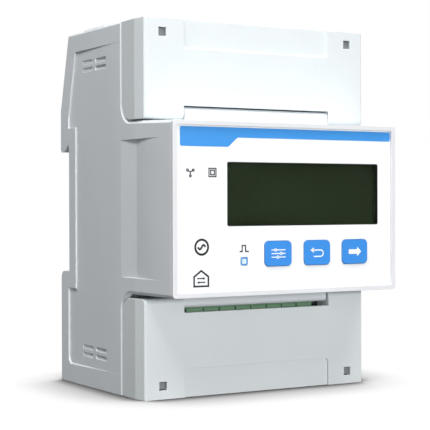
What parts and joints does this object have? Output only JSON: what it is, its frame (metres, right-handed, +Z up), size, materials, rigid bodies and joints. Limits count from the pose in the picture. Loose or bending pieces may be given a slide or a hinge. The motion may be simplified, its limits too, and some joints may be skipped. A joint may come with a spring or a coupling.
{
  "type": "smart electric meter",
  "caption": "Rail-mounted electronic energy meter with a raised face, display window, press buttons and hinged terminal covers at both ends.",
  "frame": {"origin": "centre of the bounding box's lower face, at the end that the meter stands on", "axes": "+Z up towards the upper terminals, +Y towards the rail, +X to the right of the face"},
  "size_m": [0.072, 0.0654, 0.1006],
  "materials": {
    "case_plastic": "fine moulded grain, light grey",
    "cover_plastic": "fine moulded grain, near white",
    "frame_plastic": "smooth satin white",
    "face_film": "printed film, white with a blue band",
    "window_plastic": "clear tinted pane",
    "display_glass": "dark green liquid crystal glass",
    "diffuser_plastic": "milky light guide",
    "white_plastic": "plain moulded white",
    "rubber_strip": "conductive elastomer",
    "board_laminate": "green solder mask",
    "black_plastic": "plain moulded black",
    "button_plastic": "satin blue caps with white legends",
    "clear_plastic": "clear light pipe",
    "lamp_resin": "pale resin",
    "screw_steel": "zinc plated",
    "spring_steel": "bright spring wire",
    "gold_pin": "gold flashed contact",
    "ferrite_core": "ferrite with yellow tape",
    "capacitor_can": "sleeved can",
    "varistor_resin": "dipped resin",
    "battery_can": "bright can",
    "opto_resin": "white moulded package",
    "coil_resin": "blue encapsulated ring core",
    "lead_insulation": "red insulated lead",
    "clamp_brass": "plated brass",
    "bar_copper": "copper",
    "block_plastic": "dark grey moulding",
    "green_plastic": "green connector moulding",
    "latch_plastic": "dark slide",
    "blue_print": "blue band printed on the face",
    "black_print": "dark symbols printed on the face",
    "white_print": "white symbols on the buttons"
  },
  "bodies": {
    "meter_body": {"rear_base": "case_plastic", "front_housing": "case_plastic", "front_bezel": "frame_plastic", "face_overlay": "face_film", "lcd_window": "window_plastic", "lcd_panel": "display_glass", "lcd_backlight": "diffuser_plastic", "lcd_frame": "white_plastic", "zebra_strips": "rubber_strip", "display_board": "board_laminate", "tact_switches": "black_plastic", "pulse_light_pipe": "clear_plastic", "pulse_led": "lamp_resin", "display_screws": "screw_steel", "header_pins": "gold_pin", "header_socket": "black_plastic", "metering_board": "board_laminate", "power_transformer": "ferrite_core", "filter_capacitors": "capacitor_can", "surge_varistors": "varistor_resin", "backup_battery": "battery_can", "metering_chip": "black_plastic", "processor_chip": "black_plastic", "optocouplers": "opto_resin", "current_transformers": "coil_resin", "transformer_holder": "black_plastic", "transformer_leads": "lead_insulation", "voltage_taps": "gold_pin", "phase_busbars": "bar_copper", "neutral_busbar": "bar_copper", "upper_terminal_block": "block_plastic", "lower_terminal_block": "block_plastic", "upper_clamp_cages": "clamp_brass", "lower_clamp_cages": "clamp_brass", "upper_terminal_screws": "screw_steel", "lower_terminal_screws": "screw_steel", "aux_terminal_header": "green_plastic", "aux_terminal_plug": "green_plastic", "aux_terminal_screws": "screw_steel", "aux_pins": "gold_pin", "latch_spring": "spring_steel", "case_screws": "screw_steel"},
    "set_button": {"set_button": "button_plastic", "set_plunger": "white_plastic"},
    "escape_button": {"escape_button": "button_plastic", "escape_plunger": "white_plastic"},
    "next_button": {"next_button": "button_plastic", "next_plunger": "white_plastic"},
    "upper_cover": {"upper_terminal_cover": "cover_plastic"},
    "lower_cover": {"lower_terminal_cover": "cover_plastic"},
    "latch": {"rail_latch": "latch_plastic"}
  },
  "joints": [
    {"name": "set_press", "type": "slide", "parent": "meter_body", "child": "set_button", "axis": [0, 1, 0], "range_m": [0, 0.0006], "stiffness_N_per_m": 800, "springref_m": -0.0005},
    {"name": "escape_press", "type": "slide", "parent": "meter_body", "child": "escape_button", "axis": [0, 1, 0], "range_m": [0, 0.0006], "stiffness_N_per_m": 800, "springref_m": -0.0005},
    {"name": "next_press", "type": "slide", "parent": "meter_body", "child": "next_button", "axis": [0, 1, 0], "range_m": [0, 0.0006], "stiffness_N_per_m": 800, "springref_m": -0.0005},
    {"name": "upper_cover_hinge", "type": "hinge", "parent": "meter_body", "child": "upper_cover", "pos_m": [0, -0.0162, 0.0754], "axis": [1, 0, 0], "range_deg": [0, 90]},
    {"name": "lower_cover_hinge", "type": "hinge", "parent": "meter_body", "child": "lower_cover", "pos_m": [0, -0.0156, 0.0249], "axis": [-1, 0, 0], "range_deg": [0, 90]},
    {"name": "latch_slide", "type": "slide", "parent": "meter_body", "child": "latch", "axis": [0, 0, -1], "range_m": [0, 0.0045], "stiffness_N_per_m": 600, "springref_m": -0.002, "deforming": ["latch_spring"]}
  ]
}
